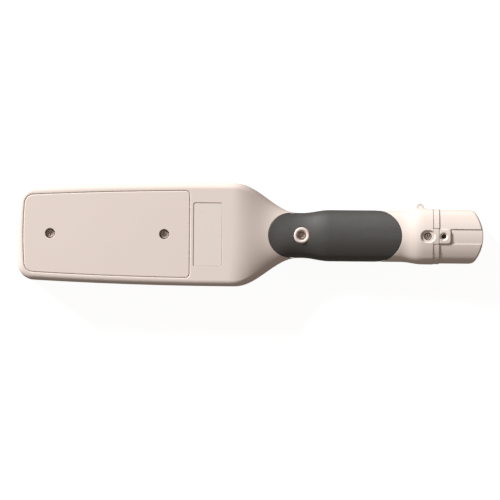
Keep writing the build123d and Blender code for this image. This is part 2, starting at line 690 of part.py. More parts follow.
with BuildPart() as battery_tube:
    extrude(handle_section(SHELL_END_X - RIB_THICKNESS, WALL + RIB_GAP), amount=RIB_THICKNESS)
    extrude(handle_section(SHELL_END_X, RING_INSET), amount=CAP_X - SHELL_END_X)
    tongue_slot = (2 * (CAP_X - tongue_x + GRIP_GAP), TONGUE_WIDTH + 2 * GRIP_GAP)
    block((CAP_X, 0), tongue_slot, TAIL_BOSS_Z - GRIP_GAP, THICKNESS, Mode.SUBTRACT)
    disc((TAIL_SCREW_X, 0), TAIL_BOSS + 2 * SLOT_GAP, TAIL_BOSS_Z - GRIP_GAP, THICKNESS, Mode.SUBTRACT)
    extrude(handle_section(CAP_X, spigot_inset), amount=SPIGOT_LENGTH)
    extrude(handle_section(CAP_X, spigot_inset + SPIGOT_WALL), amount=SPIGOT_LENGTH, mode=Mode.SUBTRACT)
    slot_plan = (SPIGOT_LENGTH, CAP_BOSS_WIDTH + 2 * SLOT_GAP)
    block((CAP_X + SPIGOT_LENGTH / 2, 0), slot_plan, SLEEVE_TOP_Z, THICKNESS, Mode.SUBTRACT)
    add(sleeve.part)
    disc((TAIL_SCREW_X, 0), PILLAR_DIAMETER, SLEEVE_TOP_Z - SLEEVE_WALL / 2, TAIL_BOSS_Z)
    disc((TAIL_SCREW_X, 0), PILOT_HOLE, SLEEVE_TOP_Z - SLEEVE_WALL + BORE_PLAY, TAIL_BOSS_Z, Mode.SUBTRACT)
    with BuildSketch(across(SLEEVE_X)):
        RectangleRounded(BATTERY_WIDTH + 2 * BATTERY_GAP, BATTERY_DEPTH + 2 * BATTERY_GAP, BATTERY_ROUND)
    extrude(amount=spigot_end_x - SLEEVE_X, mode=Mode.SUBTRACT)
export(battery_tube, "battery_tube")

with BuildPart() as cap_seal:
    extrude(handle_section(CAP_X, spigot_inset - SEAL_WIDTH), amount=SEAL_THICKNESS)
    extrude(handle_section(CAP_X, spigot_inset - SEAL_GAP), amount=SEAL_THICKNESS, mode=Mode.SUBTRACT)
export(cap_seal, "cap_seal")

# End cap with its pad, channel and bowed end
pad_end_x = CAP_X + PAD_LENGTH
cap_boss_x = CAP_X + SEAL_THICKNESS + CONTROL_GAP + CAP_BOSS_LENGTH / 2
channel_floor = handle_section(pad_end_x, CAP_INSET + CHANNEL_DEPTH)
with BuildPart() as cap_channel:
    with BuildSketch(across(pad_end_x)):
        Rectangle(CHANNEL_WIDTH, THICKNESS, align=(Align.CENTER, Align.MIN))
    extrude(amount=LENGTH / 2 - pad_end_x)
    extrude(channel_floor, amount=LENGTH / 2 - pad_end_x, mode=Mode.SUBTRACT)

cap_outside = handle_section(CAP_X, CAP_INSET)
cap_inside = handle_section(CAP_X, CAP_INSET + CAP_WALL)
seal_rebate = handle_section(CAP_X, spigot_inset - SEAL_WIDTH - CONTROL_GAP)
cap_pad = tail_pad(CAP_X, PAD_LENGTH, PAD_WIDTH, PAD_CORNER, MID_Z)
with BuildPart() as end_cap:
    extrude(cap_outside, amount=LENGTH / 2 - CAP_X)
    with BuildSketch() as cap_plan:
        with Locations((LENGTH / 2, 0)):
            Rectangle(LENGTH, COLLAR_WIDTH - CAP_INSET, align=(Align.MAX, Align.CENTER))
        with Locations((LENGTH / 2 - CAP_BOW_RADIUS, 0)):
            Circle(CAP_BOW_RADIUS, mode=Mode.INTERSECT)
        fillet(cap_plan.vertices().group_by(Axis.X)[-1], CAP_CORNER_RADIUS)
    extrude(amount=THICKNESS, mode=Mode.INTERSECT)
    end_edges = end_cap.edges().filter_by_position(Axis.X, CAP_X + PAD_LENGTH, LENGTH)
    rim_edges = end_edges.filter_by(GeomType.BSPLINE).filter_by(lambda edge: abs((edge % 0.5).Y) > RIM_LEAN)
    chamfer(rim_edges, CAP_EDGE)
    add(cap_channel.part, mode=Mode.SUBTRACT)
    add(cap_pad)
    extrude(cap_inside, amount=CAP_CAVITY_END_X - CAP_X, mode=Mode.SUBTRACT)
    with BuildSketch(across(CAP_CAVITY_END_X)):
        RectangleRounded(BATTERY_WIDTH + 2 * BATTERY_GAP, BATTERY_DEPTH + 2 * BATTERY_GAP, BATTERY_ROUND)
    extrude(amount=CAP_POCKET_END_X - CAP_CAVITY_END_X, mode=Mode.SUBTRACT)
    extrude(seal_rebate, amount=SEAL_THICKNESS + CONTROL_GAP, mode=Mode.SUBTRACT)
    block((cap_boss_x, 0), (CAP_BOSS_LENGTH, CAP_BOSS_WIDTH), CAP_BOSS_Z, THICKNESS - WALL)
    disc((CAP_SCREW_X, 0), CAP_SCREW_DIAMETER, CAP_BOSS_Z, THICKNESS, Mode.SUBTRACT)
    with Locations((CAP_SCREW_X, 0, THICKNESS - DISH_DEPTH / 2)):
        Cone(CAP_SCREW_DIAMETER / 2, DISH_DIAMETER / 2, DISH_DEPTH, mode=Mode.SUBTRACT)
export(end_cap, "end_cap")

with BuildPart() as cap_screw:
    disc((CAP_SCREW_X, 0), CAP_SCREW_DIAMETER - 2 * SEAL_GAP, SLEEVE_TOP_Z + CAP_SCREW_REST, CAP_SCREW_TOP_Z)
    with BuildSketch(Plane.XY.offset(CAP_SCREW_TOP_Z)):
        with Locations((CAP_SCREW_X, 0)):
            RegularPolygon(CAP_SCREW_SOCKET / 2, 6, major_radius=False)
    extrude(amount=-CAP_SCREW_SOCKET, mode=Mode.SUBTRACT)
export(cap_screw, "cap_screw")

# Battery, its snap clip and the foam behind it
with BuildPart() as battery:
    with BuildSketch(across(BATTERY_X)):
        RectangleRounded(BATTERY_WIDTH, BATTERY_DEPTH, BATTERY_ROUND)
    extrude(amount=BATTERY_LENGTH)
    for side, diameter in zip((-1, 1), TERMINAL_DIAMETERS):
        with BuildSketch(across(BATTERY_X)):
            with Locations((side * TERMINAL_PITCH / 2, 0)):
                Circle(diameter / 2)
        extrude(amount=-TERMINAL_HEIGHT)
export(battery, "battery")

clip_x = BATTERY_X - SEAL_GAP - CLIP_THICKNESS
with BuildPart() as battery_clip:
    with BuildSketch(across(clip_x)):
        RectangleRounded(CLIP_WIDTH, CLIP_DEPTH, BATTERY_ROUND)
    extrude(amount=CLIP_THICKNESS)
    for side, diameter in zip((-1, 1), TERMINAL_DIAMETERS):
        with BuildSketch(across(clip_x + CLIP_THICKNESS)):
            with Locations((side * TERMINAL_PITCH / 2, 0)):
                Circle(diameter / 2 + CONTROL_GAP)
        extrude(amount=-TERMINAL_HEIGHT - CONTROL_GAP, mode=Mode.SUBTRACT)
export(battery_clip, "battery_clip")

with BuildPart() as battery_pad:
    with BuildSketch(across(BATTERY_X + BATTERY_LENGTH + CONTROL_GAP)):
        RectangleRounded(BATTERY_WIDTH - FOAM_THICKNESS, BATTERY_DEPTH - FOAM_THICKNESS, BATTERY_ROUND)
    extrude(amount=CAP_POCKET_END_X - BATTERY_X - BATTERY_LENGTH - CONTROL_GAP)
export(battery_pad, "battery_pad")

# Coil set: former with a channel round its rim, transmit winding in the channel, two receive loops inside
former_steps = [former_outline(0)]
former_steps += [former_outline(FORMER_RIM)]
former_steps += [former_outline(FORMER_RIM + WINDING_WIDTH + 2 * WINDING_GAP)]
former_steps += [former_outline(2 * FORMER_RIM + WINDING_WIDTH + 2 * WINDING_GAP)]
with BuildPart() as coil_former:
    with BuildSketch(Plane.XY.offset(FORMER_Z)):
        add(former_steps[0])
    extrude(amount=FORMER_FLOOR)
    for wall_out, wall_in in (former_steps[:2], former_steps[2:]):
        with BuildSketch(Plane.XY.offset(FORMER_TOP_Z)):
            add(wall_out)
            add(wall_in, mode=Mode.SUBTRACT)
        extrude(amount=FORMER_RIM_HEIGHT)
    for x in COVER_SCREW_XS:
        disc((x, 0), COVER_PILLAR + 2 * CONTROL_GAP, FORMER_Z, FORMER_TOP_Z, Mode.SUBTRACT)
export(coil_former, "coil_former")

winding_out = former_outline(FORMER_RIM + WINDING_GAP)
winding_in = former_outline(FORMER_RIM + WINDING_GAP + WINDING_WIDTH)
with BuildPart() as transmit_coil:
    with BuildSketch(Plane.XY.offset(FORMER_TOP_Z)):
        add(winding_out)
        add(winding_in, mode=Mode.SUBTRACT)
    extrude(amount=WINDING_HEIGHT)
export(transmit_coil, "transmit_coil")

with BuildPart() as receive_coils:
    with BuildSketch(Plane.XY.offset(FORMER_TOP_Z)):
        with Locations([(x, 0) for x in LOOP_XS]):
            RectangleRounded(*LOOP_SIZE, LOOP_CORNER)
            inner_size = [size - 2 * WINDING_WIDTH for size in LOOP_SIZE]
            RectangleRounded(*inner_size, LOOP_CORNER - WINDING_WIDTH, mode=Mode.SUBTRACT)
    extrude(amount=LOOP_HEIGHT)
export(receive_coils, "receive_coils")

# Main board and what is soldered to it
with BuildPart() as main_board:
    with BuildSketch(Plane.XY.offset(BOARD_Z)) as board_plan:
        with Locations((BOARD_X, 0)):
            Rectangle(BOARD_LENGTH, BOARD_WIDTH, align=(Align.MIN, Align.CENTER))
        chamfer(board_plan.vertices().group_by(Axis.X)[-1], BOARD_CHAMFER)
        with Locations(BOARD_POST_SPOTS):
            Circle(BOARD_HOLE / 2, mode=Mode.SUBTRACT)
    extrude(amount=BOARD_THICKNESS)
export(main_board, "main_board")

post_screw = pan_screw(*BOARD_SCREW_HEAD, BOARD_PILOT - BORE_PLAY, BOARD_POST)
with BuildPart() as board_screws:
    with Locations([(x, y, BOARD_TOP_Z) for x, y in BOARD_POST_SPOTS]):
        add(post_screw)
export(board_screws, "board_screws")

with BuildPart() as board_chips:
    for spot, size in CHIPS:
        block(spot, size, BOARD_TOP_Z, BOARD_TOP_Z + CHIP_HEIGHT)
export(board_chips, "board_chips")

with BuildPart() as board_capacitors:
    for spot in CAPACITOR_SPOTS:
        disc(spot, CAPACITOR_DIAMETER, BOARD_TOP_Z, BOARD_TOP_Z + CAPACITOR_HEIGHT)
export(board_capacitors, "board_capacitors")

with BuildPart() as board_connectors:
    for spot in CONNECTOR_SPOTS:
        block(spot, CONNECTOR_SIZE[:2], BOARD_TOP_Z, BOARD_TOP_Z + CONNECTOR_SIZE[2])
export(board_connectors, "board_connectors")

# Alarm lights and their lens
led_tip_z = PANEL_INNER_Z + LENS_FLANGE
with BuildPart() as indicator_leds:
    for y in (-LED_PITCH, 0, LED_PITCH):
        disc((LENS_X, y), LED_DIAMETER, led_tip_z, BOARD_Z)
export(indicator_leds, "indicator_leds")

with BuildPart() as indicator_lens:
    block((LENS_X, 0), (LENS_LENGTH, LENS_WIDTH), LENS_Z, PANEL_INNER_Z)
    chamfer(indicator_lens.faces().sort_by(Axis.Z)[0].edges(), SOFT_EDGE / 2)
    flange_size = (LENS_LENGTH + 2 * LENS_FLANGE, LENS_WIDTH + 2 * LENS_FLANGE)
    block((LENS_X, 0), flange_size, PANEL_INNER_Z, PANEL_INNER_Z + LENS_FLANGE / 2)
export(indicator_lens, "indicator_lens")

# Mode switch: knob with a dust skirt and a stem that reaches into the switch on the board
skirt_z = PANEL_INNER_Z + CONTROL_GAP
switch_z = BOARD_Z - SWITCH_SIZE[2]
with BuildPart() as mode_slider:
    block((SLIDER_X, 0), (SLIDER_LENGTH, SLIDER_WIDTH), CONTROL_Z, skirt_z)
    for step in (-1, 0, 1):
        ridge = (SLIDER_X + step * SLIDER_LENGTH / 4, 0)
        block(ridge, (SLIDER_LENGTH / 10, SLIDER_WIDTH), CONTROL_Z, CONTROL_Z + SOFT_EDGE, Mode.SUBTRACT)
    block((SLIDER_X, 0), SLIDER_SKIRT[:2], skirt_z, skirt_z + SLIDER_SKIRT[2])
    stem_size = (SLIDER_STEM, SLIDER_STEM)
    block((SLIDER_X, 0), stem_size, skirt_z + SLIDER_SKIRT[2], switch_z + STEM_REACH)
export(mode_slider, "mode_slider")

with BuildPart() as slide_switch:
    block((SLIDER_X, 0), SWITCH_SIZE[:2], switch_z, BOARD_Z)
    stem_slot = (SLIDER_STEM + 2 * (SLIDER_TRAVEL + CONTROL_GAP), SLIDER_STEM + 2 * CONTROL_GAP)
    block((SLIDER_X, 0), stem_slot, switch_z, switch_z + STEM_REACH + CONTROL_GAP, Mode.SUBTRACT)
export(slide_switch, "slide_switch")

# Push button over its switch
tact_z = BOARD_Z - TACT_HEIGHT
with BuildPart() as power_button:
    disc((BUTTON_X, 0), BUTTON_DIAMETER, CONTROL_Z, skirt_z)
    chamfer(power_button.faces().sort_by(Axis.Z)[0].edges(), SOFT_EDGE)
    disc((BUTTON_X, 0), BUTTON_FLANGE, skirt_z, skirt_z + SLIDER_SKIRT[2])
    stem_top_z = tact_z - TACT_PIP - BUTTON_TRAVEL - BUTTON_REST
    disc((BUTTON_X, 0), BUTTON_STEM, skirt_z + SLIDER_SKIRT[2], stem_top_z)
export(power_button, "power_button")

with BuildPart() as tact_switch:
    block((BUTTON_X, 0), (TACT_WIDTH, TACT_WIDTH), tact_z, BOARD_Z)
    disc((BUTTON_X, 0), BUTTON_STEM, tact_z - TACT_PIP, tact_z)
export(tact_switch, "tact_switch")

# Sounder and vibration motor
with BuildPart() as buzzer:
    disc(buzzer_spot, BUZZER_DIAMETER, WALL, WALL + BUZZER_HEIGHT)
    disc(buzzer_spot, SOUND_HOLE, WALL, WALL + BUZZER_HEIGHT / 2, Mode.SUBTRACT)
export(buzzer, "buzzer")

motor_end_x = MOTOR_X + MOTOR_LENGTH
with BuildPart() as vibration_motor:
    with BuildSketch(across(MOTOR_X)):
        with Locations((0, MOTOR_Z - MID_Z)):
            Circle(MOTOR_DIAMETER / 2)
    extrude(amount=MOTOR_LENGTH)
    with BuildSketch(across(motor_end_x)):
        with Locations((0, MOTOR_Z - MID_Z)):
            Circle(MOTOR_SHAFT / 2 + MOTOR_SHAFT_GAP)
    extrude(amount=-MOTOR_SHAFT_DEPTH, mode=Mode.SUBTRACT)
export(vibration_motor, "vibration_motor")

with BuildPart() as motor_weight:
    with BuildSketch(across(motor_end_x - MOTOR_SHAFT_DEPTH + CONTROL_GAP)):
        with Locations((0, MOTOR_Z - MID_Z)):
            Circle(MOTOR_SHAFT / 2)
    extrude(amount=MOTOR_SHAFT_DEPTH - CONTROL_GAP + WEIGHT_OFFSET + WEIGHT_LENGTH)
    with BuildSketch(across(motor_end_x + WEIGHT_OFFSET)):
        with Locations((0, MOTOR_Z - MID_Z)):
            Circle(WEIGHT_RADIUS)
            Rectangle(3 * WEIGHT_RADIUS, WEIGHT_RADIUS, align=(Align.CENTER, Align.MIN), mode=Mode.SUBTRACT)
            Circle(MOTOR_SHAFT)
    extrude(amount=WEIGHT_LENGTH)
export(motor_weight, "motor_weight")

# Wires inside the casing
connector_z = BOARD_TOP_Z + CONNECTOR_SIZE[2] / 2
plug_x = CONNECTOR_SPOTS[1][0] + CONNECTOR_SIZE[0] / 2
for name, lane in zip(("battery_lead_black", "battery_lead_red"), LEAD_LANES):
    with BuildPart() as battery_lead:
        add(lead(
            (clip_x, lane, MID_Z),
            (RING_X - LEAD_SLOPE, lane, MID_Z),
            (RING_X - 2 * LEAD_SLOPE, lane, connector_z),
            (plug_x, lane, connector_z),
        ))
    export(battery_lead, name)

motor_lane = CONNECTOR_SPOTS[2][1]
with BuildPart() as motor_leads:
    add(ribbon(
        MOTOR_RIBBON,
        (MOTOR_X, -MOTOR_RIBBON, connector_z),
        (MOTOR_X - LEAD_SLOPE / 2, -MOTOR_RIBBON, connector_z),
        (MOTOR_X - 2 * LEAD_SLOPE, motor_lane, connector_z),
        (plug_x, motor_lane, connector_z),
    ))
export(motor_leads, "motor_leads")

coil_top_z = FORMER_TOP_Z + FORMER_RIM_HEIGHT + RIBBON_THICKNESS / 2
coil_plug_x = CONNECTOR_SPOTS[0][0] - CONNECTOR_SIZE[0] / 2
with BuildPart() as coil_leads:
    add(ribbon(
        COIL_RIBBON,
        (FORMER_END_X - WINDING_WIDTH, 0, coil_top_z),
        (FORMER_END_X + LEAD_BEND, 0, coil_top_z),
        (FORMER_END_X + LEAD_BEND, 0, connector_z),
        (coil_plug_x, 0, connector_z),
    ))
export(coil_leads, "coil_leads")
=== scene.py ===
import json
import math

import bmesh
import bpy
from mathutils import Matrix, Vector


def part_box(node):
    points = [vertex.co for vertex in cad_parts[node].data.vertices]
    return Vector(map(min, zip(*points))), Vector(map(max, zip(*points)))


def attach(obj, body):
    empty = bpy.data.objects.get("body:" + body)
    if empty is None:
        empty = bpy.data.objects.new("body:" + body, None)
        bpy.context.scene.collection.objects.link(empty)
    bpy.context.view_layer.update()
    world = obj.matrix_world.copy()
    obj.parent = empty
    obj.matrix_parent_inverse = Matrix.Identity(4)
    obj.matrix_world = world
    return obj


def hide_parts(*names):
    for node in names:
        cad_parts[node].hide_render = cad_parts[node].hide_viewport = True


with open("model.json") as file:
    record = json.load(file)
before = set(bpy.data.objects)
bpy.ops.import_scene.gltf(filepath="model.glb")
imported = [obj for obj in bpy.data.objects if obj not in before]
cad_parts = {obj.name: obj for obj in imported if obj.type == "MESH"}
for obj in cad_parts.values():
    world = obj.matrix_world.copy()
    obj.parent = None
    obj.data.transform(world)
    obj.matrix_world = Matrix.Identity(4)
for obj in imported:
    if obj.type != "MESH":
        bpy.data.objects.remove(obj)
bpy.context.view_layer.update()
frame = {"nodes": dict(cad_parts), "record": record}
nodes = frame["nodes"]
scene = bpy.context.scene
MM = 0.001


# Node material helpers

BEVEL_SAMPLES = 8
OCCLUSION_SAMPLES = 10

# Sockets of a colour mix: its share and two colours, then its result

MIX_INPUTS = (0, 6, 7)
MIX_OUTPUT = 2


class Finish:
    """A node material under construction, with textures in the object's own metres."""

    def __init__(self, name, roughness, metallic=0.0):
        self.material = bpy.data.materials.new(name)
        self.material.use_nodes = True
        self.tree = self.material.node_tree
        self.shader = self.tree.nodes["Principled BSDF"]
        self.set(Roughness=roughness, Metallic=metallic)
        self.place = self.tree.nodes.new("ShaderNodeTexCoord").outputs["Object"]

    def node(self, kind, values=None, **settings):
        """Add a node with its settings, and with constants on its inputs."""
        made = self.tree.nodes.new(kind)
        for key, value in settings.items():
            setattr(made, key, value)
        for key, value in (values or {}).items():
            made.inputs[key].default_value = value
        return made

    def link(self, source, target):
        self.tree.links.new(source, target)

    def feed(self, socket, value):
        """Set a socket to a number or a colour, or link it to another node's output."""
        if isinstance(value, (int, float)):
            socket.default_value = value
        elif isinstance(value, tuple):
            socket.default_value = (*value, 1.0)
        else:
            self.link(value, socket)

    def set(self, **values):
        """Set constants on the shader's own sockets, named with underscores for spaces."""
        for key, value in values.items():
            self.shader.inputs[key.replace("_", " ")].default_value = value

    def stretched(self, stretch):
        mapping = self.node("ShaderNodeMapping", {"Scale": stretch})
        self.link(self.place, mapping.inputs["Vector"])
        return mapping.outputs["Vector"]

    def noise(self, scale, detail=2.0, stretch=None):
        made = self.node("ShaderNodeTexNoise", {"Scale": scale, "Detail": detail})
        self.link(self.stretched(stretch) if stretch else self.place, made.inputs["Vector"])
        return made.outputs["Fac"]

    def cells(self, scale, feature="F1"):
        made = self.node("ShaderNodeTexVoronoi", {"Scale": scale}, feature=feature)
        self.link(self.place, made.inputs["Vector"])
        return made.outputs["Distance"]

    def bands(self, scale, direction, distortion=0.0):
        sizes = {"Scale": scale, "Distortion": distortion}
        made = self.node("ShaderNodeTexWave", sizes, bands_direction=direction)
        self.link(self.place, made.inputs["Vector"])
        return made.outputs["Fac"]

    def crevice(self, reach):
        """1 in the open, falling to 0 deep in gaps and inner corners."""
        made = self.node("ShaderNodeAmbientOcclusion", {"Distance": reach}, samples=OCCLUSION_SAMPLES)
        return made.outputs["AO"]

    def rounded(self, reach):
        """Normals as if sharp edges were rounded to a radius of reach."""
        made = self.node("ShaderNodeBevel", {"Radius": reach}, samples=BEVEL_SAMPLES)
        return made.outputs["Normal"]

    def edges(self, reach):
        """1 on open faces, lower within reach of a sharp edge."""
        match = self.node("ShaderNodeVectorMath", operation="DOT_PRODUCT")
        self.link(self.rounded(reach), match.inputs[0])
        self.link(self.node("ShaderNodeNewGeometry").outputs["Normal"], match.inputs[1])
        return match.outputs["Value"]

    def spread(self, source, low, high, start=0.3, end=0.7):
        """Numbers from low to high as the source runs from start to end."""
        limits = {"From Min": start, "From Max": end, "To Min": low, "To Max": high}
        made = self.node("ShaderNodeMapRange", limits)
        self.link(source, made.inputs["Value"])
        return made.outputs["Result"]

    def colours(self, source, low, high, start=0.3, end=0.7):
        """Colours from low to high as the source runs from start to end."""
        made = self.node("ShaderNodeValToRGB")
        for stop, position, colour in zip(made.color_ramp.elements, (start, end), (low, high)):
            stop.position = position
            stop.color = (*colour, 1.0)
        self.link(source, made.inputs["Fac"])
        return made.outputs["Color"]

    def mix(self, share, first, second):
        made = self.node("ShaderNodeMix", data_type="RGBA")
        for socket, value in zip(MIX_INPUTS, (share, first, second)):
            self.feed(made.inputs[socket], value)
        return made.outputs[MIX_OUTPUT]

    def math(self, operation, first, second):
        made = self.node("ShaderNodeMath", operation=operation)
        for socket, value in enumerate((first, second)):
            self.feed(made.inputs[socket], value)
        return made.outputs["Value"]

    def paint(self, source):
        self.link(source, self.shader.inputs["Base Color"])

    def rough(self, source):
        self.link(source, self.shader.inputs["Roughness"])

    def bump(self, source, height, rounding=0.0):
        made = self.node("ShaderNodeBump", {"Distance": height})
        self.link(source, made.inputs["Height"])
        if rounding:
            self.link(self.rounded(rounding), made.inputs["Normal"])
        self.link(made.outputs["Normal"], self.shader.inputs["Normal"])


def shaded(colour, factor):
    return tuple(channel * factor for channel in colour)


# Finishes

SHELL_TONES = ((0.735, 0.648, 0.602), (0.765, 0.678, 0.630))
# Painted shade colour for the shell's gaps and inner corners
SHELL_GAP_SHADE = (0.50, 0.42, 0.365)
SHELL_RUBBED = (0.82, 0.745, 0.695)
RUBBER_TONES = ((0.048, 0.0475, 0.045), (0.062, 0.0615, 0.058))
RUBBER_RUBBED = (0.085, 0.083, 0.078)
LABEL_TONES = ((0.745, 0.672, 0.628), (0.768, 0.695, 0.65))
LAMINATE, TRACK = (0.012, 0.075, 0.03), (0.035, 0.19, 0.07)
COPPER_SHADED_AND_LIT = ((0.24, 0.075, 0.03), (0.62, 0.25, 0.11))
JACKET_TONES = ((0.17, 0.175, 0.185), (0.235, 0.24, 0.25))
FOAM_PORE_SHADE_TONES = ((0.02, 0.02, 0.021), (0.085, 0.085, 0.088))
RIBBON_SHADED_AND_LIT = ((0.13, 0.13, 0.135), (0.34, 0.34, 0.35))
GRAIN_SIZE = 0.3 * MM
GRAIN_HEIGHT = 0.008 * MM
MOTTLE = 0.08
GLOSS_DRIFT = 0.06


def shell_white():
    """Satin moulded plastic, handled: spark-eroded grain, faint smears, painted shade darkening the gaps and
    inner corners.
    """
    made = Finish("shell_white", 0.58)
    clean = made.colours(made.noise(9.0, 5.0), *SHELL_TONES)
    # Painted shade: the colour darkens to a warm grey-brown wherever the occlusion mask finds gaps and inner
    # corners
    open_share = made.spread(made.crevice(1.0 * MM), 0.0, 1.0, start=0.1, end=0.65)
    gap_shaded = made.mix(open_share, SHELL_GAP_SHADE, clean)
    rubbed = made.spread(made.edges(0.9 * MM), 0.35, 0.0, start=0.75, end=0.98)
    made.paint(made.mix(rubbed, gap_shaded, SHELL_RUBBED))
    smears = made.spread(made.noise(70.0, 4.0, stretch=(1.0, 0.35, 1.0)), 0.52, 0.62)
    specks = made.spread(made.noise(420.0, 2.0), 0.0, 0.08)
    satin_skin = made.math("ADD", smears, specks)
    made.rough(made.math("SUBTRACT", satin_skin, made.math("MULTIPLY", rubbed, 0.3)))
    made.bump(made.noise(2600.0, 2.0), 0.01 * MM, rounding=0.8 * MM)
    made.set(Specular_IOR_Level=0.25)
    return made.material


def grip_rubber():
    """Soft dark rubber with a fine pebbled texture and paler, rubbed edges."""
    made = Finish("grip_rubber", 0.6)
    handled = made.noise(34.0, 5.0, stretch=(0.6, 1.0, 1.0))
    skin = made.colours(handled, *RUBBER_TONES, end=0.72)
    rubbed = made.spread(made.edges(1.2 * MM), 0.5, 0.0, start=0.7, end=0.98)
    made.paint(made.mix(rubbed, skin, RUBBER_RUBBED))
    made.rough(made.spread(made.noise(240.0, 3.0), 0.52, 0.64))
    made.bump(made.cells(1700.0), 0.05 * MM, rounding=0.5 * MM)
    made.set(Sheen_Weight=0.04, Sheen_Roughness=0.4, Specular_IOR_Level=0.8)
    return made.material


def screw_metal(name, colour, roughness):
    """Plated steel: blotchy plating and fine turning scratches."""
    made = Finish(name, roughness, metallic=1.0)
    made.paint(made.colours(made.noise(500.0, 4.0), shaded(colour, 0.72), shaded(colour, 1.2)))
    made.rough(made.spread(made.noise(1500.0, 3.0), roughness - 0.1, roughness + 0.12))
    made.bump(made.noise(5200.0, 2.0, stretch=(1.0, 0.2, 1.0)), 0.012 * MM, rounding=0.15 * MM)
    return made.material


def label_film():
    """Blank satin film with a faint fibre and slightly lifted gloss."""
    made = Finish("label_film", 0.32)
    made.paint(made.colours(made.noise(900.0, 4.0, stretch=(1.0, 0.25, 1.0)), *LABEL_TONES))
    made.rough(made.spread(made.noise(120.0, 3.0), 0.26, 0.4))
    made.bump(made.noise(700.0, 3.0), 0.006 * MM, rounding=0.1 * MM)
    return made.material


def board_green():
    """Solder mask over copper: darker bare laminate with paler tracks."""
    made = Finish("board_green", 0.34)
    layout = {"Scale": 130.0, "Mortar Size": 0.05, "Brick Width": 1.3, "Row Height": 0.3}
    tracks = made.node("ShaderNodeTexBrick", layout, offset=0.35, squash=1.6)
    made.link(made.place, tracks.inputs["Vector"])
    lines = tracks.outputs["Fac"]
    made.paint(made.mix(lines, LAMINATE, TRACK))
    made.rough(made.spread(made.noise(300.0), 0.28, 0.4))
    made.bump(lines, 0.03 * MM, rounding=0.15 * MM)
    return made.material


def winding_copper():
    """Enamelled wire laid in turns, with painted shade between the turns and painted light on their crowns.
    """
    made = Finish("winding_copper", 0.32, metallic=1.0)
    turns = made.bands(420.0, "Z", distortion=0.6)
    # Painted shade and light: each turn darkens into the groove beside it and lightens on its crown
    made.paint(made.colours(turns, *COPPER_SHADED_AND_LIT, start=0.0, end=0.6))
    made.rough(made.spread(made.noise(600.0), 0.24, 0.42))
    made.bump(turns, 0.12 * MM)
    return made.material


def battery_case():
    """Bare steel jacket, brushed along its length."""
    made = Finish("battery_case", 0.36, metallic=0.85)
    brushed = made.noise(900.0, 3.0, stretch=(0.04, 1.0, 1.0))
    made.paint(made.colours(brushed, *JACKET_TONES))
    made.rough(made.spread(brushed, 0.28, 0.44))
    made.bump(brushed, 0.006 * MM, rounding=0.3 * MM)
    return made.material


def clear_plastic(name, colour, roughness):
    """See-through moulding with faint flow marks."""
    made = Finish(name, roughness)
    made.paint(made.colours(made.noise(140.0, 3.0), shaded(colour, 0.9), colour))
    made.rough(made.spread(made.noise(400.0), roughness, roughness + 0.08))
    made.bump(made.noise(90.0, 2.0), 0.01 * MM, rounding=0.15 * MM)
    made.set(Transmission_Weight=0.85, IOR=1.49)
    return made.material


def foam_grey():
    """Open-cell foam, with painted shade in its pores."""
    made = Finish("foam_grey", 0.95)
    pores = made.cells(1300.0, "SMOOTH_F1")
    # Painted shade: the colour darkens into each pore
    made.paint(made.colours(pores, *FOAM_PORE_SHADE_TONES, start=0.1, end=0.5))
    made.rough(made.spread(pores, 1.0, 0.85, start=0.0, end=0.6))
    made.bump(pores, 0.35 * MM)
    return made.material


def ribbon_grey():
    """Flat lead: parallel wires side by side, with painted shade in the grooves between them and painted
    light on their ridges.
    """
    made = Finish("ribbon_grey", 0.45)
    wires = made.bands(390.0, "Y")
    # Painted shade and light: darker in each groove, lighter on each wire's ridge
    made.paint(made.colours(wires, *RIBBON_SHADED_AND_LIT, start=0.0, end=0.5))
    made.rough(made.spread(made.noise(300.0), 0.38, 0.52))
    made.bump(wires, 0.2 * MM)
    return made.material


def satin(name, colour, roughness, metallic=0.0, rounding=0.2 * MM):
    """Moulded or painted surface: faint drift of colour and gloss over a fine grain."""
    made = Finish(name, roughness, metallic)
    made.paint(made.colours(made.noise(22.0, 4.0), shaded(colour, 1 - MOTTLE), shaded(colour, 1 + MOTTLE)))
    made.rough(made.spread(made.noise(160.0, 3.0), roughness - GLOSS_DRIFT, roughness + GLOSS_DRIFT))
    made.bump(made.noise(1.0 / GRAIN_SIZE, 3.0), GRAIN_HEIGHT, rounding)
    return made.material


FINISHES = {
    "shell_white": shell_white(),
    "grip_rubber": grip_rubber(),
    "screw_steel": screw_metal("screw_steel", (0.56, 0.50, 0.455), 0.52),
    "screw_black": screw_metal("screw_black", (0.075, 0.062, 0.055), 0.42),
    "label_film": label_film(),
    "lens_smoke": clear_plastic("lens_smoke", (0.42, 0.05, 0.045), 0.08),
    "led_clear": clear_plastic("led_clear", (0.85, 0.32, 0.26), 0.1),
    "board_green": board_green(),
    "chip_black": satin("chip_black", (0.022, 0.022, 0.024), 0.48),
    "capacitor_blue": satin("capacitor_blue", (0.022, 0.034, 0.11), 0.28),
    "connector_cream": satin("connector_cream", (0.70, 0.63, 0.47), 0.45),
    "winding_copper": winding_copper(),
    "former_black": satin("former_black", (0.03, 0.03, 0.032), 0.52),
    "control_grey": satin("control_grey", (0.055, 0.055, 0.058), 0.46, rounding=0.3 * MM),
    "battery_case": battery_case(),
    "motor_steel": satin("motor_steel", (0.55, 0.55, 0.54), 0.27, metallic=1.0),
    "lead_red": satin("lead_red", (0.42, 0.015, 0.012), 0.4),
    "lead_black": satin("lead_black", (0.018, 0.018, 0.019), 0.42),
    "ribbon_grey": ribbon_grey(),
    "foam_grey": foam_grey(),
    "gasket_black": satin("gasket_black", (0.02, 0.02, 0.021), 0.68),
}

for part in frame["record"]["subparts"]:
    piece = nodes[part["node"]]
    piece.data.materials.clear()
    piece.data.materials.append(FINISHES[part["material_slot"]])


# Even shading over the casing's waist and flare

